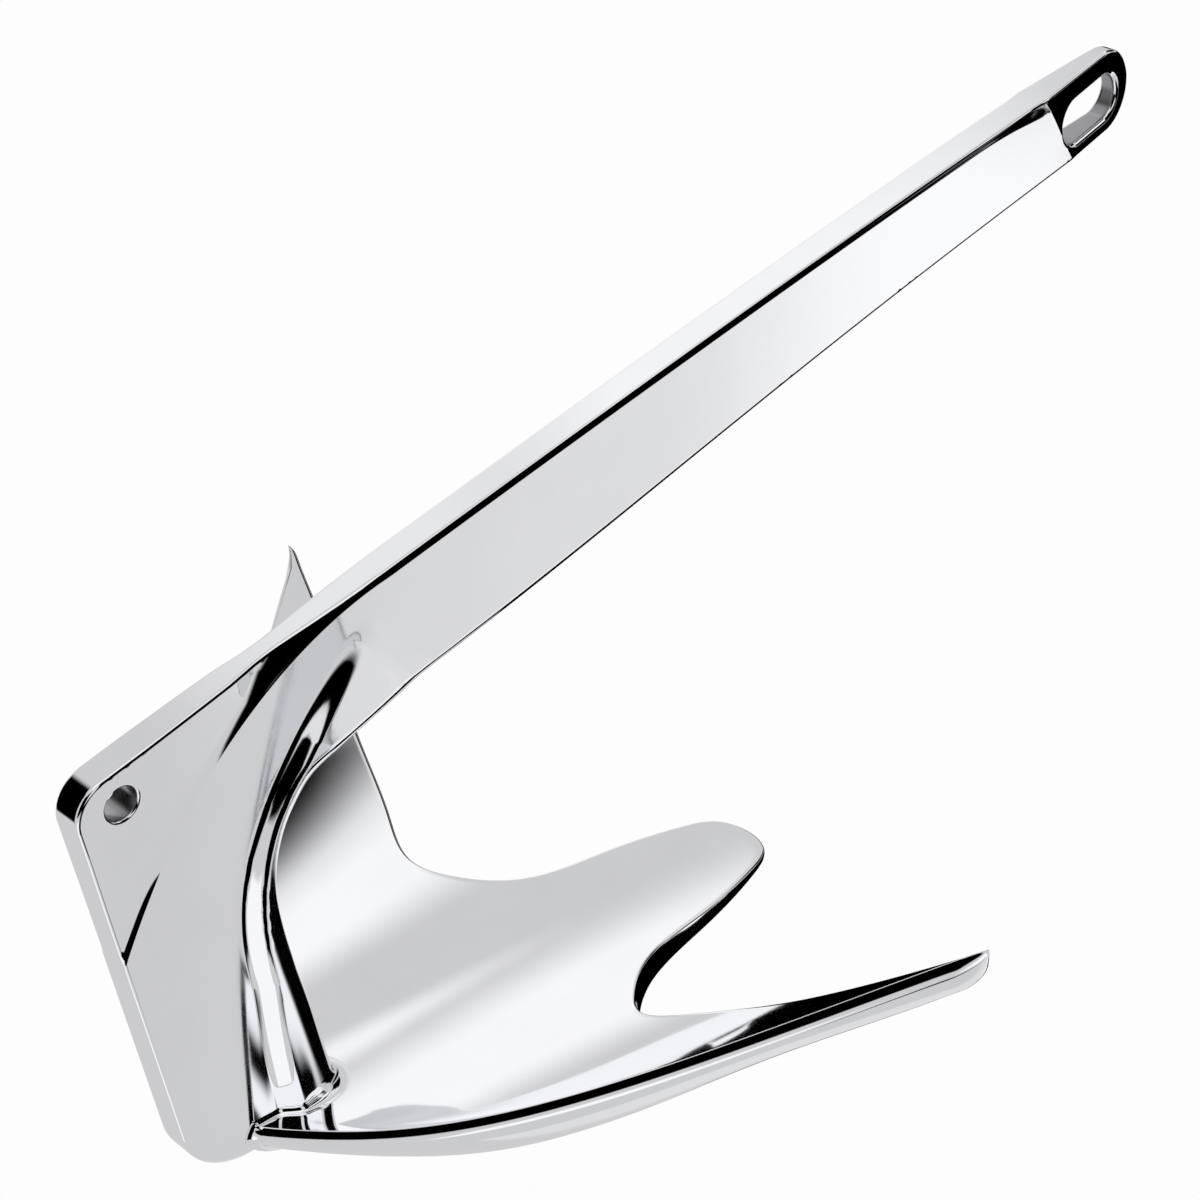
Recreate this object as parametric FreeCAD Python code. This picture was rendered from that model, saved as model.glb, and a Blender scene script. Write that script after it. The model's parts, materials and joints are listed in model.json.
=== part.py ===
# Claw anchor of the 10 kg class, cast in one piece: shank, web and three-fluke claw.
# It is drawn with the shank along X, the flukes to port and starboard along Y and
# the trip-line hole at the origin, and is turned at the end into the way it comes
# to rest on a flat floor. All sizes are in millimetres.
import FreeCAD, Part
import math
import os
from FreeCAD import Vector, Placement, Rotation

# Shank and web, a flat plate on the plane of symmetry
hole_to_eye = 562.2        # trip-line hole to the outer end arc of the shackle slot
eye_z = -1.1               # height of the slot above the hole
eye_r = 20.3               # rounded eye end
crown_r = 14.6             # rounded crown corner
crown_z = -0.8             # height of its centre above the hole
back_x = -18.7             # straight back edge of the web
top_bow_r = 11500.0        # the top edge is a very flat arc
throat_x = 49.0            # front of the web at the throat
throat_r = 46.0            # round of the throat
throat_z = -87.0           # height of its centre
web_lean = 2.5             # degrees by which the web's front edge runs forward
heel_r = 34.0              # rounded heel
heel_rise = 18.5           # centre of the heel above the palm's height at the hole
half_t_crown = 6.5         # half thickness of the web at the crown
half_t_eye = 7.7           # half thickness of the shank at the eye
edge_r = 1.5               # rounding of the plate's long edges
slot_r = 10.5              # shackle slot
slot_run = 21.0            # distance between its two end arcs
hole_r = 6.6               # trip-line hole
rim_r = 1.0                # rounding of the hole and slot rims
side_room = 20.0           # cutting profiles reach this far to each side

# Shank and web stand proud of the crown plate, the eye and the lip that joins them
land_step = 0.7
lip = 2.7                  # width of the lip along the top edge
crease_low = 66.5          # the web's slant edge meets the back this far down
crease_top = 125.0         # and runs into the lip this far along the shank
eye_pad = 40.0             # the eye's face begins this far from the slot's end arc

# Thickened front edge of the web
flange_w = 21.0            # depth of the thickening
flange_top = 7.0           # half width where it leaves the shank
flange_low = 11.5          # half width where it lands on the palm
flange_bend = 0.55         # share of its length that follows the throat's round

# Palm: straight fore-and-aft lines over a parabola athwart
palm_drop = 181.0          # palm below the hole, on the centre line at the hole
palm_slope = 0.2586        # it falls by this much per millimetre forward
palm_r = 125.0             # radius of the parabola's vertex at the hole
palm_run = 401.6           # it opens forward: the lift per y squared falls by x / palm_run squared

# Claw, in plan
half_span = 201.0          # tip of a side fluke from the centre line
tip_x = 221.5              # tip of a side fluke along the shank
rear_root = 6.0            # rear rim on the centre line
rear_round = 9.0           # its rounding there, between the two swept sides
rear_bow = 23.0            # the rear rim bows backwards by this half way out
point_x = 299.0            # tip of the centre fluke
notch_x = 160.5            # bottom of the notch between two flukes
notch_y = 69.0

# Claw, in section
band_root = 1.4            # height of the rear rim's upright band on the centre line
band_tip = 5.6             # and at the side flukes' tips
rim_steep = 3.0            # slope of the belly where it leaves that band
rim_e = 2.0                # edge left where the belly would run out in front
rim_roll = 3.4             # roll from that band onto the palm
roof = 30.0                # the claw is cut from a block this far above the palm
belly_swell = 1.9          # fullness of the belly behind, as a share of its depth
belly_root = 21.0          # belly depth on the centre line
belly_mid = 23.6           # belly depth on the shoulders
belly_tip = 12.2           # belly depth at the side flukes' tips
shoulder = 0.29            # where the shoulders lie, as a share of the half span

# The way it lies: claw down, eye raised
rest_pitch = 9.2


def palm_lift(x):
    """Rise of the palm per y squared."""
    return 0.5 / palm_r - x / palm_run ** 2


def palm_z(x, y):
    """Height of the palm's hollow inner face."""
    return -palm_drop - palm_slope * x + palm_lift(x) * y * y


def rear_x(y):
    """Rear rim of the claw in plan: swept back, and bowed backwards half way out."""
    s = (math.hypot(y, rear_round) - rear_round) / (math.hypot(half_span, rear_round) - rear_round)
    bow = rear_bow * math.sin(math.pi * min(s, 1.0)) ** (1.3 - 0.35 * s)
    return rear_root + (tip_x - rear_root) * s - bow


def belly_depth(y):
    """Deepest on the shoulders, so that the claw stands on a broad keel."""
    s = min(abs(y) / half_span, 1.04)
    if s < shoulder:
        return belly_root + (belly_mid - belly_root) * math.sin(0.5 * math.pi * s / shoulder) ** 2
    out = (s - shoulder) / (1.0 - shoulder)
    return belly_mid + (belly_tip - belly_mid) * math.sin(0.5 * math.pi * out) ** 1.5


def front_x(y):
    """Where the belly would run out in front; the outline trims it before."""
    s = min(abs(y) / half_span, 1.05)
    ease = math.sin(min(s / 0.42, 1.0) * math.pi / 2.0) ** 2
    return point_x + 19.0 - (point_x - tip_x + 14.0) * ease + 0.12 * half_span * max(s - 0.42, 0.0)


def plate_half(x):
    """Half thickness of the plate along the shank."""
    run = hole_to_eye + eye_r - back_x
    return half_t_crown + (half_t_eye - half_t_crown) * (x - back_x) / run


def xz(x, z):
    return Vector(x, 0, z)


def turn(angle, radius):
    """Point on a circle in the XZ plane, angle in degrees from +X towards +Z."""
    a = math.radians(angle)
    return Vector(math.cos(a), 0, math.sin(a)) * radius


def arc(a, b, c):
    return Part.Arc(a, b, c).toShape()


def line(a, b):
    return Part.makeLine(a, b)


def spline(points):
    curve = Part.BSplineCurve()
    curve.interpolate(points)
    return curve.toShape()


def bezier(points):
    curve = Part.BezierCurve()
    curve.setPoles(points)
    return curve.toShape()


def closed(edges):
    return Part.Wire(Part.__sortEdges__(edges))


def prism(edges, half):
    """Symmetric extrusion across Y of a closed profile in the XZ plane."""
    solid = Part.Face(closed(edges)).extrude(Vector(0, 2.0 * half, 0))
    solid.translate(Vector(0, -half, 0))
    return solid


def taper(offset):
    """Slab between the two side planes, which spread towards the eye."""
    x0, x1 = back_x - 2.0 * side_room, hole_to_eye + 3.0 * side_room
    h0, h1 = plate_half(x0) - offset, plate_half(x1) - offset
    low = -2.0 * palm_drop
    corners = [Vector(x0, -h0, low), Vector(x1, -h1, low), Vector(x1, h1, low), Vector(x0, h0, low)]
    return Part.Face(Part.makePolygon(corners + corners[:1])).extrude(Vector(0, 0, 3.0 * palm_drop))


# Outline of the plate: straight lines and arcs that meet tangentially
eye_c = xz(hole_to_eye, eye_z)
crown_c = xz(back_x + crown_r, crown_z)
throat_c = xz(throat_x + throat_r, throat_z)
heel_c = xz(back_x + heel_r, heel_rise - palm_drop)

# the top arc touches the crown's and the eye's circles from outside
span = eye_c - crown_c
reach = span.Length
along = span * (1.0 / reach)
down = Vector(along.z, 0, -along.x)
r_a, r_b = top_bow_r - crown_r, top_bow_r - eye_r
share = (r_a ** 2 - r_b ** 2 + reach ** 2) / (2.0 * reach)
bow_c = crown_c + along * share + down * math.sqrt(r_a ** 2 - share ** 2)
crown_top = crown_c + (crown_c - bow_c).normalize() * crown_r
eye_top = eye_c + (eye_c - bow_c).normalize() * eye_r


def top_z(x):
    """Height of the top edge."""
    return bow_c.z + math.sqrt(top_bow_r ** 2 - (x - bow_c.x) ** 2)


# the shank's lower edge passes under the eye's circle and over the throat's
span = eye_c - throat_c
low_angle = math.degrees(math.atan2(span.z, span.x) - math.asin((eye_r + throat_r) / span.Length))
eye_low = eye_c + turn(low_angle - 90.0, eye_r)
throat_top = throat_c + turn(low_angle + 90.0, throat_r)
throat_side = throat_c + turn(180.0 + web_lean, throat_r)

# the keel runs from the heel parallel to the palm until it meets the front edge, inside the claw
keel_angle = math.degrees(math.atan(palm_slope))
heel_back = heel_c + turn(180.0, heel_r)
heel_low = heel_c + turn(270.0 - keel_angle, heel_r)
front_dir = turn(web_lean - 90.0, 1.0)
gap = heel_low - throat_side
keel_step = (gap.x * front_dir.z - gap.z * front_dir.x) / (-palm_slope * front_dir.x - front_dir.z)
foot = heel_low + xz(1.0, -palm_slope) * keel_step

plate_edges = [
    arc(crown_top, xz((crown_top.x + eye_top.x) / 2.0, top_z((crown_top.x + eye_top.x) / 2.0)), eye_top),
    arc(eye_top, eye_c + turn(0.0, eye_r), eye_low),
    line(eye_low, throat_top),
    arc(throat_top, throat_c + turn(135.0, throat_r), throat_side),
    line(throat_side, foot),
    line(foot, heel_low),
    arc(heel_low, heel_c + turn(225.0 - keel_angle / 2.0, heel_r), heel_back),
    line(heel_back, xz(back_x, crown_z)),
    arc(xz(back_x, crown_z), crown_c + turn(135.0, crown_r), crown_top),
]
outline = prism(plate_edges, side_room)


def rounded(solid, offset, keep):
    """Round the edges that lie in the plate's side planes and pass the test."""
    chosen = []
    for edge in solid.Edges:
        first, last = edge.FirstParameter, edge.LastParameter
        points = [edge.valueAt(first + (last - first) * f) for f in (0.0, 0.3, 0.5, 0.8, 1.0)]
        in_side = all(abs(abs(p.y) - plate_half(p.x) + offset) < 1e-3 for p in points)
        if in_side and keep(points[2]):
            chosen.append(edge)
    return solid.makeFillet(edge_r, chosen)


plate = rounded(outline.common(taper(land_step)), land_step, lambda p: True)

# The raised land: all of the side but the crown plate, the lip along the top and the eye
lip_left = xz(crease_top, top_z(crease_top) - lip)
lip_right = xz(hole_to_eye - eye_pad, top_z(hole_to_eye - eye_pad) - lip)
face_mid = xz(lip_right.x + 0.16 * eye_pad, eye_z + 1.0)
face_low = xz(lip_right.x + 0.45 * eye_pad, eye_z - 1.3 * eye_r)
crease_end = xz(back_x - crown_r, -crease_low - crown_r)
beyond = hole_to_eye + 2.0 * eye_pad
above = 2.0 * crown_r + eye_r
low_edges = [
    line(xz(crease_end.x, above), xz(beyond, above)),
    line(xz(beyond, above), xz(beyond, face_low.z)),
    line(xz(beyond, face_low.z), face_low),
    arc(face_low, face_mid, lip_right),
    line(lip_right, lip_left),
    bezier([lip_left, xz(0.7 * crease_top, 1.1 * crown_r), xz(0.22 * crease_top, 0.14 * crown_r), crease_end]),
    line(crease_end, xz(crease_end.x, above)),
]
rim_wire = closed(plate_edges)


def on_outline(p):
    return rim_wire.distToShape(Part.Vertex(xz(p.x, p.z)))[0] < 1e-3


land = rounded(outline.cut(prism(low_edges, side_room + half_t_eye)).common(taper(0.0)), 0.0, on_outline)
plate = plate.fuse(land)

# Thickened front edge of the web, from the throat down to the palm


def flange_frame(s):
    """Nose point, inward direction and half width at s from 0 to 1."""
    if s < flange_bend:
        inward = turn(92.0 + (88.0 + web_lean) * s / flange_bend, 1.0)
        nose = throat_c + inward * throat_r
    else:
        inward = turn(180.0 + web_lean, 1.0)
        nose = throat_side + (foot - throat_side) * ((s - flange_bend) / (1.0 - flange_bend))
    half = flange_top + (flange_low - flange_top) * math.sin(s * math.pi / 2.0) ** 1.3
    return nose, inward, half


def flange_section(s):
    """Bell-shaped section: it swells from the plate to a blunt nose."""
    nose, inward, half = flange_frame(s)
    depth = flange_w * (0.35 + 0.65 * min(s / 0.45, 1.0))
    root = plate_half(nose.x) - land_step - 0.5

    def at(share, y):
        return nose + inward * (depth * share) + Vector(0, y, 0)

    return Part.Wire([
        bezier([at(1.0, root), at(0.72, root), at(0.72, half), at(0.36, half)]),
        bezier([at(0.36, half), at(0.0, half), at(0.0, -half), at(0.36, -half)]),
        bezier([at(0.36, -half), at(0.72, -half), at(0.72, -root), at(1.0, -root)]),
        line(at(1.0, -root), at(1.0, root)),
    ])


flange_turn = Part.makeLoft([flange_section(s) for s in (0.0, 0.11, 0.22, 0.33, 0.44, flange_bend)], True, False)
flange_foot = Part.makeLoft([flange_section(flange_bend), flange_section(1.0)], True, True)
flange = flange_turn.fuse(flange_foot)

# Claw: one belly lofted from tip to tip, hollowed and trimmed


def belly_section(y):
    """Section athwart: the belly, the upright band of the rear rim and the roll onto the palm."""
    x0, x1, deep = rear_x(y), front_x(y), belly_depth(y)
    run = x1 - x0
    rim_h = rim_roll + band_root + (band_tip - band_root) * abs(y) / half_span
    bend = (belly_swell * deep + rim_e - rim_h) / rim_steep

    def at(x, drop):
        return Vector(x, y, palm_z(x, y) - drop)

    crest = at(x0 + 1.35 * rim_roll, -0.12 * rim_roll)
    return Part.Wire([
        bezier([at(x0, rim_h), at(x0 + bend, belly_swell * deep + rim_e),
                at(x0 + 0.34 * run, 1.2 * deep + rim_e), at(x1, rim_e)]),
        line(at(x1, rim_e), at(x1, -roof)),
        line(at(x1, -roof), at(crest.x, -roof)),
        line(at(crest.x, -roof), crest),
        bezier([crest, at(x0 + 0.55 * rim_roll, 0.02 * rim_roll), at(x0, 0.4 * rim_roll), at(x0, rim_roll)]),
        line(at(x0, rim_roll), at(x0, rim_h)),
    ])


claw = Part.makeLoft([belly_section(1.04 * half_span * i / 18.0) for i in range(-18, 19)], True, False)


def hollow_section(x):
    """Exact parabola of the palm at x, closed above."""
    far = 1.3 * half_span
    k, z = palm_lift(x), palm_z(x, 0.0)
    high = z + k * far ** 2
    left, right = Vector(x, -far, high), Vector(x, far, high)
    up = Vector(0, 0, 2.0 * roof)
    return Part.Wire([bezier([left, Vector(x, 0, z - k * far ** 2), right]), line(right, right + up),
                      line(right + up, left + up), line(left + up, left)])


behind = back_x - 2.0 * side_room
hollow = Part.makeLoft([hollow_section(behind), hollow_section(1.2 * point_x)], True, True)

# plan outline of the three flukes: one half, and its mirror image
half_plan = [
    Vector(point_x, 0, 0),
    Vector(point_x - 5.5, 14.5, 0),
    Vector(point_x - 21.0, 22.0, 0),
    Vector(point_x - 63.0, 30.5, 0),
    Vector(point_x - 105.0, 38.5, 0),
    Vector(notch_x + 9.0, notch_y - 13.5, 0),
    Vector(notch_x, notch_y, 0),
    Vector(notch_x + 8.0, notch_y + 22.0, 0),
    Vector(notch_x + 25.5, notch_y + 59.0, 0),
    Vector(tip_x - 6.0, half_span - 17.0, 0),
    Vector(tip_x - 1.2, half_span - 4.5, 0),
    Vector(tip_x - 1.0, half_span - 0.8, 0),
    Vector(tip_x - 5.5, half_span + 1.2, 0),
]


def both(points):
    """The points and their mirror images, as one run from side to side."""
    return points[::-1] + [Vector(p.x, -p.y, p.z) for p in points if p.y > 0]


front = spline(both(half_plan))
corners = [half_plan[-1], Vector(behind, half_plan[-1].y, 0), Vector(behind, -half_plan[-1].y, 0),
           Vector(half_plan[-1].x, -half_plan[-1].y, 0)]
plan = Part.Face(closed([front] + [line(a, b) for a, b in zip(corners, corners[1:])]))
plan.translate(Vector(0, 0, -3.0 * palm_drop))
claw = claw.common(plan.extrude(Vector(0, 0, 4.0 * palm_drop))).cut(hollow)
port = claw.common(Part.makeBox(2.0 * point_x, 2.0 * half_span, 4.0 * palm_drop, Vector(behind, 0, -3.0 * palm_drop)))
starboard = port.mirror(Vector(0, 0, 0), Vector(0, 1, 0))
claw = port.fuse(starboard)
body = plate.fuse(flange).fuse(claw)

# Trip-line hole and shackle slot, both with a bevelled rim


def bore(half, grow):
    """Hole and slot outlines at this half width of the plate, grown by so much."""
    ring = Part.Wire([Part.Circle(Vector(0, half, 0), Vector(0, 1, 0), hole_r + grow).toShape()])
    side = Vector(0, half, 0)
    up, out = xz(0, slot_r + grow), xz(slot_r + grow, 0)
    eye, inner = eye_c + side, eye_c - xz(slot_run, 0) + side
    slot = Part.Wire([line(inner + up, eye + up), arc(eye + up, eye + out, eye - up),
                      line(eye - up, inner - up), arc(inner - up, inner - out, inner + up)])
    return ring, slot


body_cuts = []
for index, x in ((0, 0.0), (1, hole_to_eye)):
    face = plate_half(x) - land_step
    for side in (-1.0, 1.0):
        inner, outer = bore(side * (face - rim_r), 0.0), bore(side * (face + rim_r), 2.0 * rim_r)
        body_cuts.append(Part.makeLoft([inner[index], outer[index]], True, True))
    straight = Part.Face(bore(-side_room, 0.0)[index]).extrude(Vector(0, 2.0 * side_room, 0))
    body_cuts.append(straight)
for cut in body_cuts:
    body = body.cut(cut)
anchor = body.Solids[0]

# Turned into the way it lies: the lowest point on the floor, centred over the origin
pitch = Rotation(Vector(0, 1, 0), -rest_pitch)
anchor.Placement = Placement(Vector(0, 0, 0), pitch)
box = anchor.optimalBoundingBox(False)
rest = Placement(Vector(-box.Center.x, -box.Center.y, -box.ZMin), pitch)
anchor.Placement = rest

os.makedirs("parts", exist_ok=True)
anchor.exportStep("parts/anchor.step")
box = anchor.optimalBoundingBox(False)
print("solids", len(body.Solids), "valid", anchor.isValid(), "mass kg", round(anchor.Volume * 7.85e-6, 3))
print("size", round(box.XLength, 2), round(box.YLength, 2), round(box.ZLength, 2))
print("hole", rest.multVec(Vector(0, 0, 0)), "slot", rest.multVec(eye_c - xz(slot_run / 2.0, 0)))
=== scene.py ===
import json
import math
import bmesh
import bpy
import numpy as np
from mathutils import Matrix, Vector
from mathutils.geometry import delaunay_2d_cdt


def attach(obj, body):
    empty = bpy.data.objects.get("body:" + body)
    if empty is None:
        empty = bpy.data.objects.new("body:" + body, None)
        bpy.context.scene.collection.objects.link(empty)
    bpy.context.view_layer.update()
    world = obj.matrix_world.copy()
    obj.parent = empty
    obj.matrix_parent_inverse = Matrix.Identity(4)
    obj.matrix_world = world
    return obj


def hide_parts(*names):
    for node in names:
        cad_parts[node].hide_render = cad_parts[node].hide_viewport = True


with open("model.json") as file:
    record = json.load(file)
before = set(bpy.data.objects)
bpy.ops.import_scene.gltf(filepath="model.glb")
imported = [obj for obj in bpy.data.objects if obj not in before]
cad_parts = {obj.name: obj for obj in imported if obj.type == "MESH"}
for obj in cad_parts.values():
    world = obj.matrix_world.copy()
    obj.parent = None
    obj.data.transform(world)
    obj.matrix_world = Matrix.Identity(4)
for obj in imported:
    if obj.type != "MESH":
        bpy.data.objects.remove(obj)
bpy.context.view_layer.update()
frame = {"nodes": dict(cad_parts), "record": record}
scene = bpy.context.scene
anchor_node = frame["nodes"]["anchor"]

# Mirror polish: the whole anchor is one casting in stainless steel, ground and buffed on
# cloth wheels until it mirrors the room. Only a fine haze and a faint waviness are left
# in it; the walls of the slot and of the hole, which no wheel reaches, stay satin and
# rougher, and their colour is a dark grey that is painted shade in these recesses.
tint_cool, tint_pale = (0.925, 0.93, 0.955, 1.0), (0.945, 0.95, 0.975, 1.0)
# painted shade: the dark grey colour given to the walls of the slot and the hole
painted_shade_grey = (0.42, 0.42, 0.435, 1.0)
mirror_rough, haze_rough, satin_rough = 0.035, 0.03, 0.25
# the anchor is drawn in mm from its trip-line hole, and lies with its eye pitched up
hole = np.array(frame["record"]["mounts"][0]["pos_m"]) * 1000.0
pitch = math.radians(9.2)
slot_r, slot_run, slot_end, hole_r = 10.5, 22.0, (562.8, -2.2), 6.6


class Wire:
    """A node's output that can be reckoned with like a number."""

    def __init__(self, tree, out=None):
        self.tree = tree
        self.out = out

    def add(self, kind, settings=None, sockets=None, take=0):
        """A new node: settings first, then the values or links of its sockets."""
        node = self.tree.nodes.new(kind)
        for name, value in (settings or {}).items():
            setattr(node, name, value)
        for name, value in (sockets or {}).items():
            if isinstance(value, Wire):
                self.tree.links.new(value.out, node.inputs[name])
            else:
                node.inputs[name].default_value = value
        return Wire(self.tree, node.outputs[take] if len(node.outputs) else None)

    def all_outputs(self):
        """Every output of the node that this one belongs to."""
        return [Wire(self.tree, socket) for socket in self.out.node.outputs]

    def math(self, operation, *values):
        """A Math node over numbers or outputs."""
        return self.add("ShaderNodeMath", {"operation": operation}, dict(enumerate(values)))

    def __add__(self, other):
        return self.math("ADD", self, other)

    def __sub__(self, other):
        return self.math("SUBTRACT", self, other)

    def __rsub__(self, other):
        return self.math("SUBTRACT", other, self)

    def __mul__(self, other):
        return self.math("MULTIPLY", self, other)

    __radd__ = __add__
    __rmul__ = __mul__

    def ramp(self, low, high):
        """0 below low, 1 above high, eased between them."""
        return self.add("ShaderNodeMapRange", {"interpolation_type": "SMOOTHSTEP"},
                        {"Value": self, "From Min": low, "From Max": high})

    def window(self, low, high, edge):
        """1 between low and high, with soft edges outside them."""
        return self.ramp(low - edge, low) * (1.0 - self.ramp(high, high + edge))


polish = bpy.data.materials.new("mirror_polished_steel")
polish.use_nodes = True
polish.node_tree.nodes.clear()
skin = Wire(polish.node_tree)
spot = skin.add("ShaderNodeTexCoord", take=3)
haze = skin.add("ShaderNodeTexNoise", {}, {
    "Vector": spot, "Scale": 22.0, "Detail": 4.0, "Roughness": 0.6})
wave = skin.add("ShaderNodeTexNoise", {}, {
    "Vector": spot, "Scale": 14.0, "Detail": 1.0, "Roughness": 0.4})
buffed_tint = skin.add("ShaderNodeMix", {"data_type": "RGBA"}, {
    "Factor": haze.ramp(0.35, 0.65), 6: tint_cool, 7: tint_pale}, take=2)
metres_x, _, metres_z = skin.add("ShaderNodeSeparateXYZ", {}, {0: spot}).all_outputs()
ahead = metres_x * 1000.0 - float(hole[0])
upward = metres_z * 1000.0 - float(hole[2])
drawn_x = ahead * math.cos(pitch) + upward * math.sin(pitch)
drawn_z = upward * math.cos(pitch) - ahead * math.sin(pitch)
off_middle = skin.math("ABSOLUTE", drawn_x - (slot_end[0] - slot_run / 2.0))
past_run = skin.math("MAXIMUM", off_middle - slot_run / 2.0, 0.0)
off_line = drawn_z - slot_end[1]
from_slot = skin.math("SQRT", past_run * past_run + off_line * off_line)
from_hole = skin.math("SQRT", drawn_x * drawn_x + drawn_z * drawn_z)
off_slot_wall = from_slot.ramp(slot_r + 0.1, slot_r + 0.5)
off_hole_wall = from_hole.ramp(hole_r + 0.1, hole_r + 0.4)
# walls of slot and hole: a real satin roughness, and a colour darkened as painted shade
satin_and_painted_shade = 1.0 - off_slot_wall * off_hole_wall
tint = skin.add("ShaderNodeMix", {"data_type": "RGBA"}, {
    "Factor": satin_and_painted_shade, 6: buffed_tint, 7: painted_shade_grey}, take=2)
roughness = haze.ramp(0.3, 0.7) * haze_rough + satin_and_painted_shade * satin_rough + mirror_rough
buffed = skin.add("ShaderNodeBump", {}, {"Height": wave, "Strength": 0.05, "Distance": 0.0006})
steel = skin.add("ShaderNodeBsdfPrincipled", {}, {
    "Base Color": tint, "Metallic": 1.0, "Roughness": roughness, "Normal": buffed})
skin.add("ShaderNodeOutputMaterial", {}, {"Surface": steel})

for slot in anchor_node.material_slots:
    slot.material = polish

# Shank and web: a flat plate of cast steel, 12 to 14 mm thick, that stands on edge over
# the claw. Its outline is made of straight lines and arcs that run into each other; its
# sides carry a raised web and a thick bar that sweeps from the shank down to the claw.
eye_x, eye_z, eye_r = 564.0, -0.2, 19.5
crown_r, crown_z, back_x = 14.6, -0.8, -18.7
top_bow_r = 11500.0
throat_x, throat_z, throat_r = 49.0, -85.6, 47.3
web_lean = math.radians(2.5)
heel_r, heel_drop = 34.0, 162.5
palm_drop, palm_slope = 181.0, 0.2586
palm_k0, palm_k1 = 0.0040, 0.0000062


def arc(centre, radius, start, end, step):
    """Points on an arc between two angles in degrees, with their directions from its centre."""
    count = max(3, int(abs(math.radians(end - start)) * radius / step))
    a = np.radians(np.linspace(start, end, count, endpoint=False))
    out = np.stack([np.cos(a), np.sin(a)], 1)
    return np.asarray(centre) + out * radius, out * np.sign(radius)


def run(start, end, out, step):
    """Points on a straight edge, with the one direction that leads out of the plate."""
    count = max(2, int(np.hypot(*(np.asarray(end) - start)) / step))
    share = np.linspace(0.0, 1.0, count, endpoint=False)[:, None]
    return start + (np.asarray(end) - start) * share, np.repeat([out], count, 0)


def angle_of(v):
    """Direction of a vector, in degrees."""
    return math.degrees(math.atan2(v[1], v[0]))


def unit(angle):
    """Vector one long in a direction given in degrees."""
    return np.array([math.cos(math.radians(angle)), math.sin(math.radians(angle))])


# the top edge is a very flat arc that the crown's and the eye's arcs both run into
eye_c, crown_c = np.array([eye_x, eye_z]), np.array([back_x + crown_r, crown_z])
throat_c = np.array([throat_x + throat_r, throat_z])
heel_c = np.array([back_x + heel_r, -heel_drop])
shank_span = eye_c - crown_c
reach = np.hypot(*shank_span)
along, down = shank_span / reach, np.array([shank_span[1], -shank_span[0]]) / reach
bow_to_crown, bow_to_eye = top_bow_r - crown_r, top_bow_r - eye_r
midway = (bow_to_crown ** 2 - bow_to_eye ** 2 + reach ** 2) / (2 * reach)
bow_c = crown_c + along * midway + down * math.sqrt(bow_to_crown ** 2 - midway ** 2)


def top_z(x):
    """Height of the top edge."""
    return bow_c[1] + np.sqrt(top_bow_r ** 2 - (x - bow_c[0]) ** 2)


crown_a, eye_a = angle_of(crown_c - bow_c), angle_of(eye_c - bow_c)
under_span = eye_c - throat_c
under_a = angle_of(under_span) - math.degrees(math.asin((eye_r + throat_r) / np.hypot(*under_span)))
under_start = eye_c + unit(under_a - 90.0) * eye_r
under_end = throat_c + unit(under_a + 90.0) * throat_r
lean, keel = math.degrees(web_lean), math.degrees(math.atan(palm_slope))
throat_side = throat_c + unit(180.0 + lean) * throat_r
front_dir = unit(lean - 90.0)
heel_low = heel_c + unit(270.0 - keel) * heel_r
to_heel = heel_low - throat_side
foot_run = ((to_heel[0] * front_dir[1] - to_heel[1] * front_dir[0])
            / (-palm_slope * front_dir[0] - front_dir[1]))
foot = heel_low + np.array([1.0, -palm_slope]) * foot_run
rim_parts = [
    arc(bow_c, top_bow_r, crown_a, eye_a, 2.4),
    arc(eye_c, eye_r, eye_a, under_a - 90.0, 0.6),
    run(under_start, under_end, unit(under_a - 90.0), 2.2),
    arc(throat_c, throat_r, under_a + 90.0, 180.0 + lean, 1.4),
    run(throat_side, foot, unit(lean), 1.6),
    run(foot, heel_low, unit(270.0 - keel), 2.4),
    arc(heel_c, heel_r, 270.0 - keel, 180.0, 1.4),
    run(heel_c + unit(180.0) * heel_r, np.array([back_x, crown_z]), unit(180.0), 2.4),
    arc(crown_c, crown_r, 180.0, crown_a, 0.8)]
top_part, under_part, throat_part, front_part = 0, 2, 3, 4

# the shank's lower edge bows up by 2.6 mm, and down by 1.1 mm just before the throat
arch_up, arch_down, arch_share, rest_share = 2.6, 1.1, 0.68, 0.32
toward_throat = np.linspace(0.0, 1.0, len(rim_parts[under_part][0]))
rim_parts[under_part][0][:, 1] += np.where(
    toward_throat < arch_share,
    arch_up * np.sin(math.pi * toward_throat / arch_share),
    -arch_down * np.sin(math.pi * (toward_throat - arch_share) / rest_share))
rim = np.concatenate([p[0] for p in rim_parts])
rim_out = np.concatenate([p[1] for p in rim_parts])
counts = [len(p[0]) for p in rim_parts]
part_of = np.repeat(np.arange(len(counts)), counts)
on_top, on_under = part_of == top_part, part_of == under_part
on_throat, on_front = part_of == throat_part, part_of == front_part
on_flange = on_throat | on_front
rim_out[on_throat] *= -1.0


def ease(s):
    """0 to 1 and level at both ends."""
    s = np.clip(s, 0.0, 1.0)
    return s * s * (3.0 - 2.0 * s)


# rounding of the rim: so deep inwards, and so far across the thickness
round_all, round_top, round_under, round_throat = 1.7, 1.4, 1.9, 5.5
under_deepens, under_broadens, throat_deepens, deep_after = 3.6, 1.6, 9.5, 0.28
throat_end = 0.55
inward, across = np.full(len(rim), round_all), np.full(len(rim), round_all)
inward[on_top] = across[on_top] = round_top
inward[on_under] = round_under + under_deepens * toward_throat ** 2
across[on_under] = round_all + under_broadens * toward_throat ** 2
down_flange = np.zeros(len(rim))
down_flange[on_throat] = throat_end * np.linspace(0.0, 1.0, counts[throat_part])
down_flange[on_front] = np.linspace(throat_end, 1.0, counts[front_part])
inward[on_flange] = round_throat + throat_deepens * ease(down_flange[on_flange] / deep_after)


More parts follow.
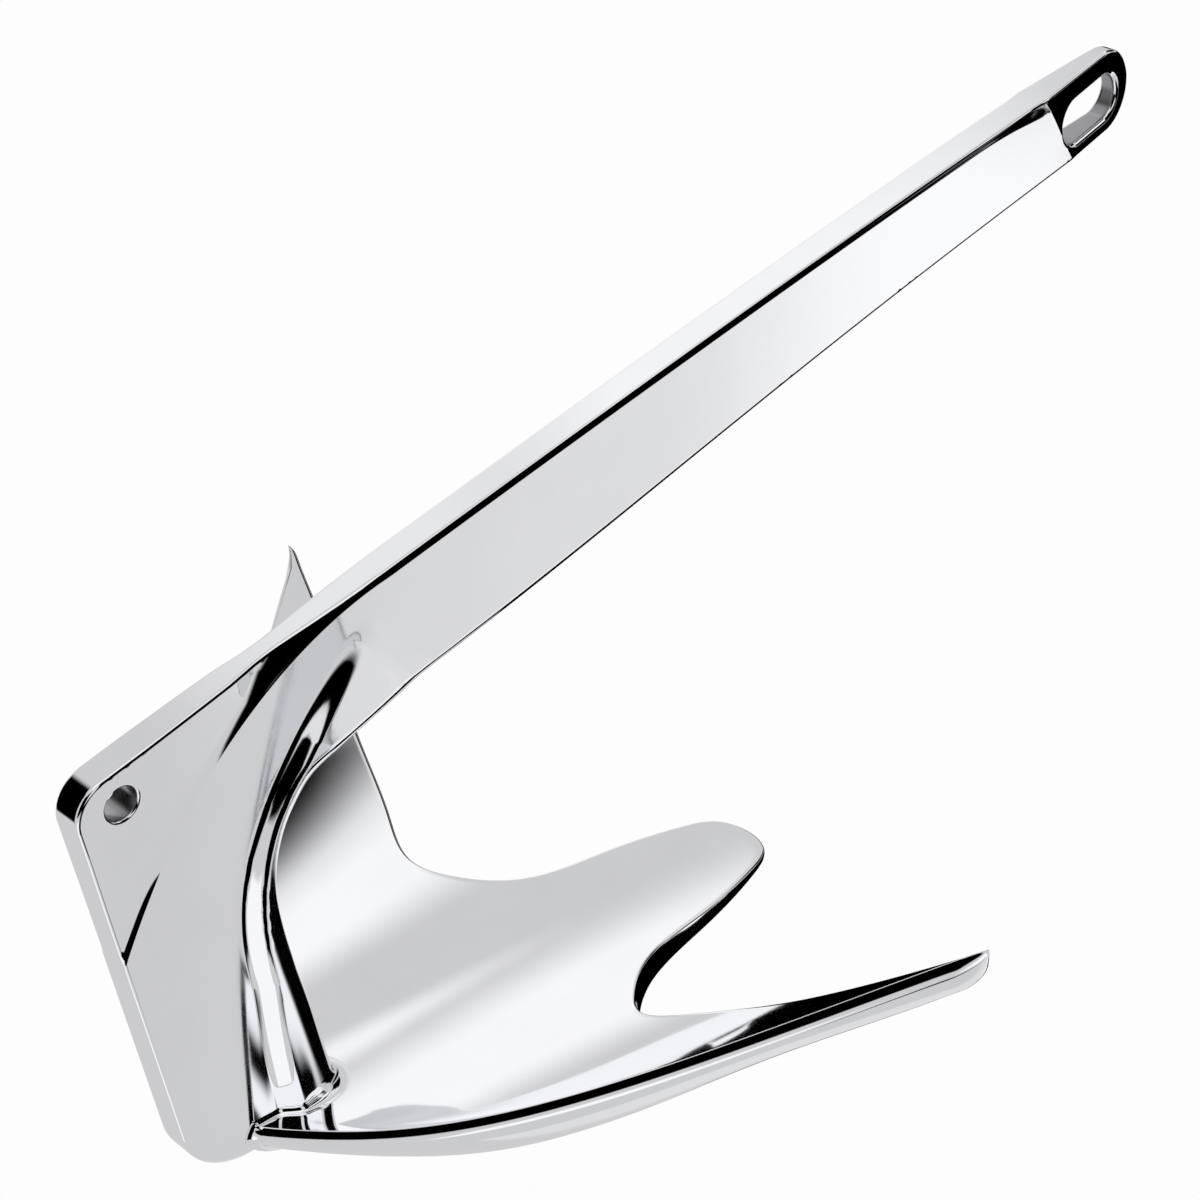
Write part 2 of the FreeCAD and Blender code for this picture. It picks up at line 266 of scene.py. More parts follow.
def weights(k):
    """Shares of a bend's four points in the place that lies k of the way along it."""
    return (1 - k) ** 3, 3 * k * (1 - k) ** 2, 3 * k * k * (1 - k), k ** 3


def bent(start, leave, arrive, end, count):
    """Points of a bend that leaves and arrives towards the two points in between."""
    places = np.array([start, leave, arrive, end], float)
    return sum(share * place for share, place in
               zip(weights(np.linspace(0.0, 1.0, count)[:, None]), places))


# crease: edge of the raised web against the crown plate, then the lip along the shank
lip, lip_sink, lip_from, lip_sinks_at, lip_to = 2.7, 4.0, 125.0, 468.0, 516.0
web_edge = bent((back_x - 6, -75.5), (28, 2), (88, 16), (lip_from, top_z(lip_from) - lip), 110)
lip_x = np.arange(lip_from + 2.5, lip_to, 2.5)


def lip_depth(x):
    """How far the lip lies under the top edge: it sinks towards the eye."""
    t = np.clip((x - lip_sinks_at) / (lip_to - lip_sinks_at), 0.0, 1.0)
    return lip + lip_sink * t * t


def lip_s(x):
    """Place along the crease, counted 1 to 2 on the lip."""
    return 1.0 + (x - lip_from) / (lip_to - lip_from)


crease = np.concatenate([web_edge, np.stack([lip_x, top_z(lip_x) - lip_depth(lip_x)], 1)])
crease_s = np.concatenate([np.linspace(0, 1, len(web_edge)), lip_s(lip_x)])
# edge of the eye's face, which leans back a little from the shank's side
eye_edge = bent((497, 40), (527, 14), (523, -2), (546, -34), 60)
eye_edge_s = np.linspace(0.0, 1.0, len(eye_edge))
eye_step, eye_step_run, eye_lean = 0.25, 3.0, 0.08
# valley: where the thick bar rises out of the web
valley = np.concatenate([
    bent((114, 9), (97, 0), (76, -16), (57, -36), 50),
    bent((57, -36), (38, -57), (26, -80), (27, -118), 50)[1:],
    bent((27, -118), (26, -132), (23, -145), (22, -190), 40)[1:]])
valley_s = np.concatenate([np.linspace(0, 1, 50), np.linspace(1, 2, 50)[1:], np.linspace(2, 3, 40)[1:]])

# how steeply each falls away, and over what width
crease_at = [0, 0.1, 0.2, 0.36, 0.44, 0.52, 0.58, 0.64, 0.75, 0.85, 0.94, 1.0, 1.88, 1.94, 1.975, 2.0]
crease_tilt = [24, 22, 6, 6, 15, 20, 23, 25, 25, 26, 26, 26, 26, 26, 22, 4]
crease_wide = [3.6, 3.2, 5.0, 5.0, 5.0, 6.5, 11.0, 13.0, 13.0, 9.0, 4.2, 2.0, 2.1, 2.9, 4.4, 5.2]
valley_at = [0, 0.2, 0.32, 0.45, 0.6, 0.75, 1.0, 1.3, 2.0, 3.0]
valley_rise = [0.0, 0.3, 1.3, 2.4, 3.6, 4.9, 5.2, 5.5, 5.5, 5.4]
valley_wide = [12.0, 12.0, 13.0, 12.5, 11.5, 10.5, 9.4, 9.4, 9.4, 10.0]
bar_lean_at, bar_lean, bar_lean_run = [0.6, 1.1, 1.6, 2.0], [0.0, 0.05, 0.07, 0.11], 12.0
half_at_crown, half_gain = 6.8, 1.25


def closest(points, line):
    """For each point, the number of the line's point that lies closest."""
    index = np.empty(len(points), int)
    for k in range(0, len(points), 2000):
        part = points[k:k + 2000]
        index[k:k + 2000] = ((part[:, None, :] - line[None]) ** 2).sum(2).argmin(1)
    return index


def nearest(points, line, line_s):
    """Distance to the left of the nearest place on a line, and how far along it that lies."""
    index = closest(points, line)
    ahead = np.gradient(line, axis=0)
    length = np.linalg.norm(ahead, axis=1)
    ahead /= length[:, None]
    off = points - line[index]
    side = ahead[index, 0] * off[:, 1] - ahead[index, 1] * off[:, 0]
    onward = np.clip((off * ahead[index]).sum(1), -3.0, 3.0)
    return side, line_s[index] + onward * (np.gradient(line_s) / length)[index]


def half_thickness(points):
    """Half thickness of the plate at points of its side, before its rim is rounded."""
    x = points[:, 0]
    thick = half_at_crown + half_gain * (x - back_x) / (eye_x + eye_r - back_x)
    side, s = nearest(points, crease, crease_s)
    tilt, width = np.interp(s, crease_at, crease_tilt), np.interp(s, crease_at, crease_wide)
    drop = 0.5 * width * np.tan(np.radians(tilt))
    out = np.clip(side / width, 0.0, 1.0)
    thick -= drop * (1.0 - (1.0 - out) ** 2)
    side, s = nearest(points, eye_edge, eye_edge_s)
    thick -= eye_step * ease(side / eye_step_run) + eye_lean * np.maximum(side, 0.0)
    side, s = nearest(points, valley, valley_s)
    rise, wide = np.interp(s, valley_at, valley_rise), np.interp(s, valley_at, valley_wide)
    thick += rise * np.sin(np.clip(side / wide, 0.0, 1.0) * math.pi / 2.0) ** 2
    return thick - np.interp(s, bar_lean_at, bar_lean) * np.clip(side - wide, 0.0, bar_lean_run)


def inside(points, loop):
    """True for the points within a closed outline."""
    x, z = points.T
    held = np.zeros(len(points), bool)
    for a, b in zip(loop, np.roll(loop, -1, 0)):
        crosses = (a[1] > z) != (b[1] > z)
        at = a[0] + (z - a[1]) * (b[0] - a[0]) / np.where(b[1] == a[1], 1e-9, b[1] - a[1])
        held ^= crosses & (x < at)
    return held


# trip-line hole and shackle slot, each with a rounded rim
slot_bevel, hole_bevel = 2.3, 1.3
outer_c = np.array(slot_end)
inner_c = outer_c - [slot_run, 0.0]
slot_parts = [
    arc(outer_c, slot_r, -90.0, 90.0, 0.5),
    run(outer_c + [0, slot_r], inner_c + [0, slot_r], (0.0, 1.0), 1.0),
    arc(inner_c, slot_r, 90.0, 270.0, 0.5),
    run(inner_c - [0, slot_r], outer_c - [0, slot_r], (0.0, -1.0), 1.0)]
slot_loop = np.concatenate([p[0] for p in slot_parts])
slot_out = np.concatenate([p[1] for p in slot_parts])
hole_loop, hole_out = arc((0.0, 0.0), hole_r, 0.0, 360.0, 0.45)

# rows of points that follow the rounded rims, closest together where they turn most
bar_round, nose_flat, full_after = 3.3, 0.4, 0.3
bar_half = half_thickness(rim - rim_out * inward[:, None])[on_flange]
across[on_flange] = bar_round + (bar_half - nose_flat - bar_round) * ease(
    down_flange[on_flange] / full_after)
loops = [(rim, rim_out, inward, across)]
for loop, out, bevel in ((slot_loop, slot_out, slot_bevel), (hole_loop, hole_out, hole_bevel)):
    loops.append((loop, -out, np.full(len(loop), bevel), np.full(len(loop), bevel)))
bows = np.sin(np.radians([90, 81, 72, 63, 54, 46, 38, 30, 22, 15, 9, 3]))
steps_in = [(bow, 1.0 - bow) for bow in bows] + [(0.0, 1.03)]
plan, grow, row_t, rows = [], [], [], []
at = 0
for loop, out, deep, broad in loops:
    rows.append((at, len(loop), out))
    for bow, back in steps_in:
        plan.append(loop - out * (deep * back)[:, None])
        row_t.append(np.full(len(loop), bow))
        grow.append(np.stack([out[:, 0], out[:, 1], deep, broad], 1))
        at += len(loop)


def beside(line, offsets):
    """Copies of a line, each so far to its left."""
    ahead = np.gradient(line, axis=0)
    ahead /= np.linalg.norm(ahead, axis=1)[:, None]
    left = np.stack([-ahead[:, 1], ahead[:, 0]], 1)
    return np.concatenate([line + left * np.asarray(o)[..., None] for o in offsets])


def gap_to(points, line):
    """Distance from each point to the closest of a line's points."""
    return np.sqrt(((points[:, None, :] - line[None]) ** 2).sum(2).min(1))


# rows beside crease, lip, eye edge and valley, and an even grid on the ground between
crease_w = np.interp(crease_s, crease_at, crease_wide)
valley_w = np.interp(valley_s, valley_at, valley_wide)
slopes = [(crease, crease_s, crease_w), (valley, valley_s, valley_w),
          (eye_edge, eye_edge_s, np.full(len(eye_edge), 4.0))]
grid_step_x, grid_step_z, lowest, highest = 3.6, 3.2, -260.0, 24.0
grid_x, grid_z = np.meshgrid(np.arange(back_x, eye_x + eye_r, grid_step_x),
                             np.arange(lowest, highest, grid_step_z))
grid_x = grid_x + grid_step_x / 2.0 * (np.round(grid_z / grid_step_z) % 2)
grid = np.stack([grid_x.ravel(), grid_z.ravel()], 1)
for line, line_s, line_w in slopes:
    side, s = nearest(grid, line, line_s)
    beyond = np.interp(s, line_s, line_w) + 2.6
    on_rows = (side > -3.0) & (side < beyond) & (gap_to(grid, line) < np.abs(side) + 1.5)
    grid = grid[~on_rows]
by_lip = on_top & (rim[:, 0] > lip_from) & (rim[:, 0] < lip_to)
lip_w = np.interp(lip_s(rim[by_lip, 0]), crease_at, crease_wide)[:, None]
lip_rows = [rim[by_lip] - rim_out[by_lip] * (lip_depth(rim[by_lip, :1]) - off * lip_w)
            for off in (-1.3, -0.6, -0.2, 0.0, 0.25, 0.5, 0.75, 1.0)]
on_web = crease_s <= 1.0
web_w = crease_w[on_web]
web_offsets = ([-1.6, -0.7, -0.25] + [k * web_w for k in (0.0, 0.05, 0.15, 0.3, 0.5, 0.75)]
               + [web_w, web_w + 1.2])
valley_offsets = [-1.5, 0.0 * valley_w] + [k / 9.0 * valley_w for k in range(1, 10)] + [valley_w + 1.5]
fill = np.concatenate([
    beside(crease[on_web], web_offsets),
    np.concatenate(lip_rows),
    beside(eye_edge, [-2.0, -1.0, -0.4, 0.0, 0.4, 0.8, 1.4, 2.0, 2.6, 3.2, 4.2]),
    beside(valley, valley_offsets),
    grid])
near = closest(fill, rim)
clear_of = np.linalg.norm(fill - rim[near], axis=1) > inward[near] + 0.5
for loop, bevel in ((slot_loop, slot_bevel), (hole_loop, hole_bevel)):
    clear_of &= (gap_to(fill, loop) > bevel + 0.4) & ~inside(fill, loop)
fill = fill[clear_of & inside(fill, rim)]

# the side as a height over the plan, with the normals that belong to its slopes
flat = np.concatenate(plan + [fill])
t = np.concatenate(row_t + [np.zeros(len(fill))])
grow = np.concatenate(grow + [np.tile([0.0, 0.0, 1.0, 0.0], (len(fill), 1))])
_, _, triangles, kept, _, _ = delaunay_2d_cdt([Vector(p) for p in flat], [], [], 0, 1e-4)
came_from = [ids[0] for ids in kept]
becomes = {i: j for j, ids in enumerate(kept) for i in ids}
flat, t, grow = flat[came_from], t[came_from], grow[came_from]
tri = np.array([f for f in triangles if len(f) == 3])
middle = flat[tri].mean(1)
tri = tri[inside(middle, rim) & ~inside(middle, slot_loop) & ~inside(middle, hole_loop)]
up = np.sqrt(1.0 - t ** 2)
open_ground = np.ones(len(flat), bool)
for line, line_s, line_w in slopes:
    side, s = nearest(flat, line, line_s)
    open_ground &= (side < -2.0) | (side > np.interp(s, line_s, line_w) + 2.0)
gauge = np.where(open_ground, 1.6, 0.2)
gauge_x, gauge_z = gauge[:, None] * [1.0, 0.0], gauge[:, None] * [0.0, 1.0]
slope_x = (half_thickness(flat + gauge_x) - half_thickness(flat - gauge_x)) / (2.0 * gauge)
slope_z = (half_thickness(flat + gauge_z) - half_thickness(flat - gauge_z)) / (2.0 * gauge)
tall = half_thickness(flat) - grow[:, 3] * (1.0 - up)
leans = grow[:, 3] / grow[:, 2] * t
side_n = np.stack([grow[:, 0] * leans - slope_x * up, up, grow[:, 1] * leans - slope_z * up], 1)
side_n /= np.linalg.norm(side_n, axis=1)[:, None]

# both sides, and the walls of rim, slot and hole between them
mirror = np.array([1.0, -1.0, 1.0])
far_side = np.stack([flat[:, 0], tall, flat[:, 1]], 1)
points = [far_side, far_side * mirror]
normals = [side_n, side_n * mirror]
faces = [tuple(f[::-1]) for f in tri] + [tuple(f + len(flat)) for f in tri]
count = 2 * len(flat)
for first, length, out in rows:
    ring = np.array([becomes[first + i] for i in range(length)])
    wall_n = np.stack([out[:, 0], 0.0 * out[:, 0], out[:, 1]], 1)
    levels = [ring]
    for k in (1, 2, 3):
        points.append(far_side[ring] * [1.0, 1.0 - k / 2.0, 1.0])
        normals.append(wall_n)
        levels.append(np.arange(count, count + length))
        count += length
    levels.append(ring + len(flat))
    stack = np.concatenate(points)
    for upper, lower in zip(levels, levels[1:]):
        for i in range(length):
            j = (i + 1) % length
            quad = (upper[i], upper[j], lower[j], lower[i])
            p = stack[list(quad)]
            faces_out = np.dot(np.cross(p[1] - p[0], p[3] - p[0]), wall_n[i]) > 0
            faces.append(quad if faces_out else quad[::-1])


def turned(vectors):
    """From the drawing's directions to those of the anchor as it lies."""
    x, y, z = np.asarray(vectors, float).T
    c, s = math.cos(pitch), math.sin(pitch)
    return np.stack([x * c - z * s, y, x * s + z * c], 1)


def finished(name, verts, polys, made_normals=None):
    """One finished piece: placed as the anchor lies, smooth, with its faces outwards."""
    placed = (turned(verts) + hole) / 1000.0
    mesh = bpy.data.meshes.new(name)
    mesh.from_pydata([tuple(v) for v in placed], [], [tuple(int(i) for i in f) for f in polys])
    mesh.polygons.foreach_set("use_smooth", [True] * len(mesh.polygons))
    if made_normals is None:
        bm = bmesh.new()
        bm.from_mesh(mesh)
        bmesh.ops.recalc_face_normals(bm, faces=bm.faces)
        bm.to_mesh(mesh)
        bm.free()
        mesh.set_sharp_from_angle(angle=math.radians(60.0))
    else:
        mesh.normals_split_custom_set_from_vertices([tuple(v) for v in turned(made_normals)])
    mesh.materials.append(polish)
    piece = bpy.data.objects.new(name, mesh)
    scene.collection.objects.link(piece)
    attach(piece, "root")
    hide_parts("anchor")


finished("anchor_shank", np.concatenate(points), faces, np.concatenate(normals))

# Claw: the part that digs in, a hollow shell of cast steel with three flukes, poured in one
# with the shank. Its palm is swept straight fore and aft over a parabola; the belly under it
# is full, and the rear rim leans forward as it rises and rolls over onto the palm.
half_span, tip_x, rear_root, rear_round, rear_bow = 201.0, 221.5, 6.0, 9.0, 23.0
point_x, notch_x, notch_y = 299.0, 160.5, 69.0
belly_root, belly_mid, belly_tip, shoulder = 21.0, 23.6, 12.2, 0.29
belly_swell, belly_hold, belly_reach = 1.9, 1.2, 0.34
fuller, fuller_from, flatter, flatter_from = 1.4, 0.2, 2.6, 0.52
rim_steep, front_deep, rim_roll, band_low, band_gain = 3.0, 2.0, 3.4, 1.4, 4.2
lean_low, lean_high, roll_h = math.radians(17.0), math.radians(40.0), 1.3
crest_h, crest_run, roll_start, roll_end = 0.12 * rim_roll, 1.6, 0.8, 0.6
soft_share, tip_close, tip_left, rear_left, full_breadth = 0.42, 10.0, 0.8, 1.2, 11.0
edge_r, foot_r, rim_lean = 1.3, 2.2, 0.54


def palm_z(x, y):
    """Height of the palm's surface."""
    return -palm_drop - palm_slope * x + (palm_k0 - palm_k1 * x) * y * y


def rear_x(y):
    """Line of the rear rim, which bows back between keel and tip."""
    s = (np.hypot(y, rear_round) - rear_round) / (math.hypot(half_span, rear_round) - rear_round)
    bow = rear_bow * np.sin(math.pi * np.clip(s, 0.0, 1.0)) ** (1.3 - 0.35 * np.clip(s, 0, 1))
    return rear_root + (tip_x - rear_root) * s - bow


def swelling(s, start):
    """1 in the middle of four tenths of the half span, 0 outside them."""
    return np.sin(math.pi * np.clip((s - start) / 0.4, 0.0, 1.0)) ** 2


def belly_depth(y):
    """Depth of the belly under the palm, from keel to tip."""
    s = np.minimum(np.abs(y) / half_span, 1.04)
    near_keel = belly_root + (belly_mid - belly_root) * np.sin(0.5 * math.pi * s / shoulder) ** 2
    out = np.clip((s - shoulder) / (1.0 - shoulder), 0.0, 2.0)
    toward_tip = belly_mid + (belly_tip - belly_mid) * np.sin(0.5 * math.pi * out) ** 1.5
    depth = np.where(s < shoulder, near_keel, toward_tip)
    return depth + fuller * swelling(s, fuller_from) - flatter * swelling(s, flatter_from)


def front_x(y):
    """Where the belly's sections end: a soft line round the three points."""
    s = np.minimum(np.abs(y) / half_span, 1.05)
    soft = np.sin(np.minimum(s / soft_share, 1.0) * math.pi / 2.0) ** 2
    outward = 0.12 * half_span * np.maximum(s - soft_share, 0.0)
    return point_x + 19.0 - (point_x - tip_x + 14.0) * soft + outward


def rim_height(y):
    """Height of the rear rim: its roll, and the upright band below that grows to the tips."""
    return rim_roll + (band_low + band_gain * np.abs(y) / half_span)


def belly_z(x, y):
    """Height of the belly: the same curve in every section from rim to front."""
    x0, deep, rim_h = rear_x(y), belly_depth(y), rim_height(y)
    length = front_x(y) - x0
    steep = (belly_swell * deep + front_deep - rim_h) / rim_steep
    low, high = np.zeros_like(x), np.ones_like(x)
    for _ in range(40):
        m = 0.5 * (low + high)
        a, b, c, d = weights(m)
        ahead = b * steep + c * belly_reach * length + d * length
        low, high = np.where(ahead < x - x0, m, low), np.where(ahead < x - x0, high, m)
    drop = (a * rim_h + b * (belly_swell * deep + front_deep)
            + c * (belly_hold * deep + front_deep) + d * front_deep)
    return palm_z(x, y) - drop


def spline(points, count):
    """Smooth curve through points, evenly divided by length."""
    p = np.asarray(points, float)
    u = np.concatenate([[0.0], np.cumsum(np.linalg.norm(np.diff(p, axis=0), axis=1))])
    h = np.diff(u)
    system, rhs = np.eye(len(p)), np.zeros_like(p)
    for i in range(1, len(p) - 1):
        system[i, i - 1:i + 2] = h[i - 1], 2 * (h[i - 1] + h[i]), h[i]
        rhs[i] = 6 * ((p[i + 1] - p[i]) / h[i] - (p[i] - p[i - 1]) / h[i - 1])
    bend = np.linalg.solve(system, rhs)
    at = np.linspace(0.0, u[-1], count)
    k = np.clip(np.searchsorted(u, at) - 1, 0, len(h) - 1)
    a, b = ((u[k + 1] - at) / h[k])[:, None], ((at - u[k]) / h[k])[:, None]
    bulge = (a ** 3 - a) * bend[k] + (b ** 3 - b) * bend[k + 1]
    return a * p[k] + b * p[k + 1] + bulge * (h[k] ** 2)[:, None] / 6


# plan of the flukes from the middle point round one notch to the tip
half_plan = np.array([
    (point_x, 0.0), (point_x - 5.5, 14.5), (point_x - 21.0, 22.0),
    (point_x - 63.0, 30.5), (point_x - 105.0, 38.5),
    (notch_x + 9.0, notch_y - 13.5), (notch_x, notch_y), (notch_x + 8.0, notch_y + 22.0),
    (notch_x + 25.5, notch_y + 59.0), (tip_x - 6.0, half_span - 17.0),
    (tip_x - 1.6, half_span - 6.5), (tip_x - 0.6, half_span - 2.2), (tip_x - 1.8, half_span - 0.9)])
front = spline(np.concatenate([(half_plan * [1, -1])[:0:-1], half_plan]), 561)
front_out = np.gradient(front, axis=0)
front_out = np.stack([front_out[:, 1], -front_out[:, 0]], 1)
front_out /= np.linalg.norm(front_out, axis=1)[:, None]
steps = np.abs(np.gradient(front[:, 1])) + 0.12
rear_y = np.concatenate([[0.0], np.cumsum(0.5 * (steps[1:] + steps[:-1]))])
rear_y = (rear_y / rear_y[-1] * 2.0 - 1.0) * (half_span - rear_left)
rear = np.stack([rear_x(rear_y), rear_y], 1)
breadth = np.linalg.norm(front - rear, axis=1)
edge_round = np.minimum(edge_r, 0.25 * breadth)
foot_round = np.minimum(foot_r, 0.3 * breadth)
shrink = np.minimum(1.0, breadth / full_breadth)
rim_h = rim_height(rear_y)
third = (rim_h - roll_h) / 3.0
lean_x = rim_lean * (rim_h - roll_h) * shrink
crest_x = lean_x + crest_run * shrink


def ahead_of_rear(x):
    """Places of the plan so far in front of the rear rim's line."""
    return rear + np.column_stack([x, 0.0 * x])


def within(round_by, share):
    """Places of the plan inside the front edge, by a share of its rounding."""
    return front - front_out * round_by[:, None] * share


def over(height_of, places, lift):
    """Points at places of the plan, lifted so far over a surface."""
    return np.column_stack([places, height_of(places[:, 0], places[:, 1]) + lift])


# one closed section for each place along the front: palm, roll, rim, belly and front edge
section = []
crest, inner, base = ahead_of_rear(crest_x), within(edge_round, 1.0), within(foot_round, 1.0)
for k in np.linspace(1.0, 0.0, 41):
    lift = crest_h * shrink * (1.0 - np.minimum(k * 14, 1.0)) ** 2
    section.append(over(palm_z, crest + (inner - crest) * k, lift))
for k in np.linspace(0.0, 1.0, 12)[1:]:
    a, b, c, d = weights(k)
    x = (a * crest_x + b * (crest_x - roll_start * shrink)
         + c * (lean_x + roll_end * math.sin(lean_high) * shrink) + d * lean_x)
    z = (a + b) * crest_h * shrink - c * (roll_h - roll_end * math.cos(lean_high)) - d * roll_h
    section.append(over(palm_z, ahead_of_rear(x), z))
for k in np.linspace(0.0, 1.0, 8)[1:-1]:
    a, b, c, d = weights(k)
    x = (a * lean_x + b * (lean_x - math.sin(lean_high) * third * shrink)
         + c * math.sin(lean_low) * third * shrink)
    z = (a * roll_h + b * (roll_h + math.cos(lean_high) * third)
         + c * (rim_h - math.cos(lean_low) * third) + d * rim_h)
    section.append(over(palm_z, ahead_of_rear(x), -z))
for k in np.linspace(0.0, 1.0, 40) ** 1.5:
    section.append(over(belly_z, rear + (base - rear) * k, 0.0))
quarter = [math.radians(k) for k in (18, 36, 54, 72, 90)]
for a in quarter:
    lift = foot_round * (1.0 - math.cos(a))
    section.append(over(belly_z, within(foot_round, 1.0 - math.sin(a)), lift))
low_z = belly_z(front[:, 0], front[:, 1]) + foot_round
high_z = palm_z(front[:, 0], front[:, 1]) - edge_round
for k in (0.25, 0.5, 0.75):
    section.append(np.column_stack([front, low_z + (high_z - low_z) * k]))
for a in quarter[::-1]:
    lift = -edge_round * (1.0 - math.cos(a))
    section.append(over(palm_z, within(edge_round, 1.0 - math.sin(a)), lift))
shell = np.stack(section, 1)
# towards each tip the shell thins away to nothing, as round as a lens
past = np.clip((np.abs(shell[:, :, 1]) - half_span + tip_close) / (tip_close - tip_left), 0.0, 1.0)
palm_level = palm_z(shell[:, :, 0], shell[:, :, 1])
shell[:, :, 2] = palm_level + (shell[:, :, 2] - palm_level) * np.sqrt(1.0 - past ** 2)
number = np.arange(shell.shape[0] * shell.shape[1]).reshape(shell.shape[:2])
here, onward = number[:-1], number[1:]
quads = np.stack([here, np.roll(here, -1, 1), np.roll(onward, -1, 1), onward], -1).reshape(-1, 4)
ends = [tuple(number[0][::-1]), tuple(number[-1])]
finished("anchor_claw", shell.reshape(-1, 3), [tuple(q) for q in quads] + ends)

# Fairing: the hollow fillet of cast steel that the grinder leaves where the shank's foot
# stands on the claw. It starts from nothing at the heel, is 3 mm in radius along both
# sides and grows to 6 mm round the front edge, where the foot flares out onto the palm.
side_r, front_r, foot_half, foot_drop, past_rim = 3.0, 6.0, 6.9, palm_drop + 13.0, 0.4
foot_deep, foot_broad = inward[on_front][-1], across[on_front][-1]
under_rim, on_palm = 66, 40


def front_edge_x(z):
    """The flange's leaning front edge at a height."""
    return throat_side[0] + (z - throat_side[1]) * front_dir[0] / front_dir[1]


def foot_width(x, z):
    """Half width of the shank's foot, rounded front edge and all."""
    t = np.clip(1.0 - (front_edge_x(z) - x) * math.cos(web_lean) / foot_deep, 0.0, 1.0)
    return half_thickness(np.stack([x, z], 1)) - foot_broad * (1.0 - np.sqrt(1.0 - t * t))


def on_claw(column, y):
    """Point of one lengthwise line of the shell at a given y."""
    line = shell[:, column]
    return np.array([np.interp(y, line[:, 1], line[:, 0]), y, np.interp(y, line[:, 1], line[:, 2])])


# the corner that the fillet fills, and its two edges on the shank's wall and on the palm:
# first round the rear rim, along the foot's side
walls, corners, floors = [], [], []
columns = range(under_rim, on_palm, -1)
at_side = np.array([on_claw(column, foot_half) for column in columns])
tangent = np.gradient(at_side, axis=0)
rise = np.stack([-tangent[:, 2], 0 * tangent[:, 1], tangent[:, 0]], 1)
rise /= np.linalg.norm(rise, axis=1)[:, None]
rise *= np.sign(rise[-1, 2])
for k, (column, corner, off) in enumerate(zip(columns, at_side, rise)):
    r = side_r * ease(k / 8.0)
    corners.append(corner)
    walls.append(corner + off * r)
    floors.append(on_claw(column, foot_half + r))
# then over the palm, and round the front edge
along_foot = np.concatenate([np.linspace(0.0, 0.9, 40), np.sin(np.radians(np.linspace(65, 90, 12)))[1:]])
palm_start = at_side[-1, 0]
x = palm_start + past_rim + (front_edge_x(-foot_drop) - palm_start - past_rim) * along_foot
y = np.full(len(x), 7.0)
for _ in range(3):
    y = foot_width(x, palm_z(x, y))
foot_plan = np.stack([x, y], 1)
foot_ahead = np.gradient(foot_plan, axis=0)
foot_out = np.stack([-foot_ahead[:, 1], foot_ahead[:, 0]], 1)
foot_out /= np.linalg.norm(foot_out, axis=1)[:, None]
for p, out, k in zip(foot_plan, foot_out, along_foot):
    r = side_r + (front_r - side_r) * ease((k - 0.35) / 0.5)
    q = p + out * r
    corners.append(np.array([p[0], p[1], palm_z(*p)]))
    walls.append(np.array([p[0] - r * k * math.tan(web_lean), p[1], palm_z(*p) + r]))
    floors.append(np.array([q[0], q[1], palm_z(*q)]))
walls, corners, floors = (np.concatenate([half, (half * mirror)[::-1]])
                          for half in (np.array(walls), np.array(corners), np.array(floors)))

# the fillet itself: a ribbon along that path, hollow across, closed by a root in the metal
weld = bpy.data.node_groups.new("fairing", "GeometryNodeTree")
sockets = {}
for name, way, kind in (("Path", "INPUT", "Geometry"), ("Rows across", "INPUT", "Int"),
                        ("Root share", "INPUT", "Float"), ("Fairing", "OUTPUT", "Geometry")):
    sockets[name] = weld.interface.new_socket(
        name, in_out=way, socket_type="NodeSocket" + kind).identifier
bead = Wire(weld)
path, rows_across, root_share = bead.add("NodeGroupInput").all_outputs()[:3]
path_length = bead.add("GeometryNodeAttributeDomainSize", {"component": "MESH"}, {"Geometry": path})
ribbon = bead.add("GeometryNodeMeshGrid", {}, {
    "Vertices X": path_length, "Vertices Y": rows_across + 2.0})
index = bead.add("GeometryNodeInputIndex")
place = bead.math("FLOOR", bead.math("DIVIDE", index + 0.5, rows_across + 2.0))
row = bead.math("FLOORED_MODULO", index - place * (rows_across + 2.0), rows_across + 1.0)


def along_path(value):
    """A value of the path, at the place where this row crosses it."""
    return bead.add("GeometryNodeSampleIndex", {"data_type": "FLOAT_VECTOR"}, {
        "Geometry": path, "Value": value, "Index": place})


def edge_on(name):
    """The path's edge that is kept under a name."""
    return along_path(bead.add("GeometryNodeInputNamedAttribute", {"data_type": "FLOAT_VECTOR"}, {
        "Name": name}))


def between(share, start, end):
    """The place that lies a share of the way from start to end."""
    return bead.add("ShaderNodeMix", {"data_type": "VECTOR", "clamp_factor": False}, {
        0: share, 4: start, 5: end}, take=1)


wall, palm = edge_on("wall"), edge_on("palm")
corner = along_path(bead.add("GeometryNodeInputPosition"))
over_share = bead.math("DIVIDE", row, rows_across - 1.0)
hollow = between(over_share, between(over_share, wall, corner), between(over_share, corner, palm))
root = between(root_share + 1.0, between(0.5, wall, palm), corner)
is_root = bead.math("COMPARE", row, rows_across, 0.5)
formed = bead.add("GeometryNodeSetPosition", {}, {
    "Geometry": ribbon, "Position": between(is_root, hollow, root)})
closed = bead.add("GeometryNodeMergeByDistance", {}, {"Geometry": formed, "Distance": 0.002})
whole = bead.add("GeometryNodeRealizeInstances", {}, {"Geometry": closed})
shown = bead.add("GeometryNodeSetMaterial", {}, {"Geometry": whole, "Material": polish})
bead.add("NodeGroupOutput", {}, {0: shown})

